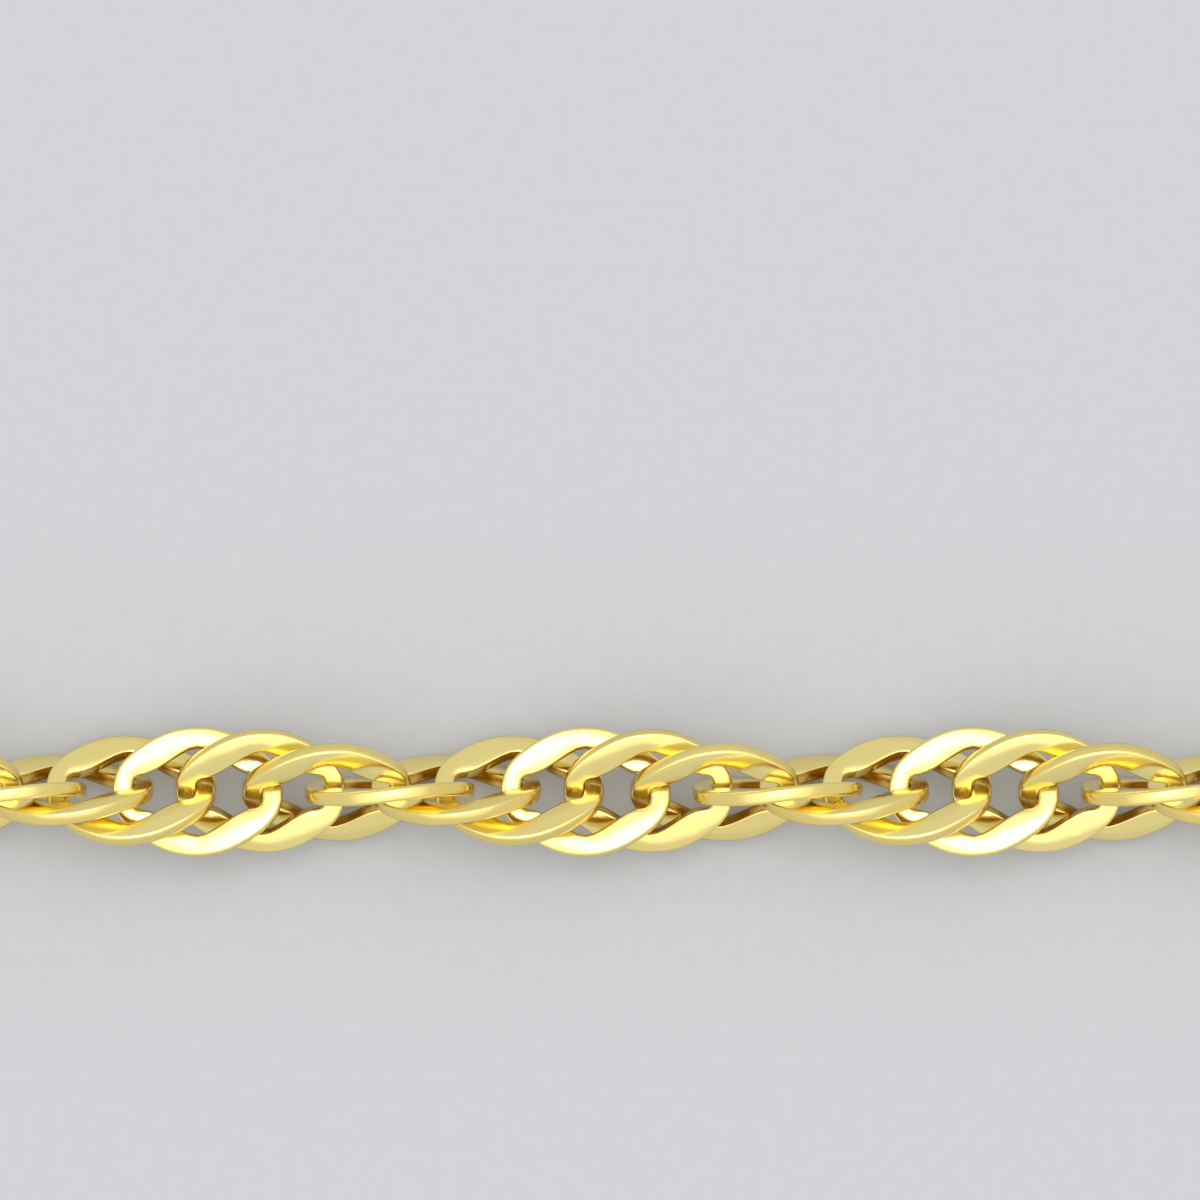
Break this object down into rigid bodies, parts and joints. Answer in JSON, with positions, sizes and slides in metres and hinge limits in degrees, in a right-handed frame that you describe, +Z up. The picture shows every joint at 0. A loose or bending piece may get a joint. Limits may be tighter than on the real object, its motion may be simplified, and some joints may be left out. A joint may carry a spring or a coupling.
{
  "type": "singapore chain necklace",
  "caption": "Twisted chain of flat oval links, each hooked through the next two, laid out as one closed loop with a spring ring clasp at the back.",
  "frame": {"origin": "middle of the loop's box in plan, on the surface that the necklace lies on", "axes": "+X along the front run, to the right when seen from above with the front run nearest; +Y from the front run towards the clasp; +Z up from the surface"},
  "size_m": [0.183, 0.0854, 0.0034],
  "materials": {
    "link_gold": "yellow gold, diamond-cut flats with a bright polish",
    "clasp_gold": "yellow gold, polished tube",
    "ring_gold": "yellow gold, polished drawn wire"
  },
  "bodies": {
    "root": {"chain_front": "link_gold", "chain_back": "link_gold", "clasp": "clasp_gold", "clasp_ring": "ring_gold", "catch_ring": "ring_gold"}
  },
  "joints": []
}
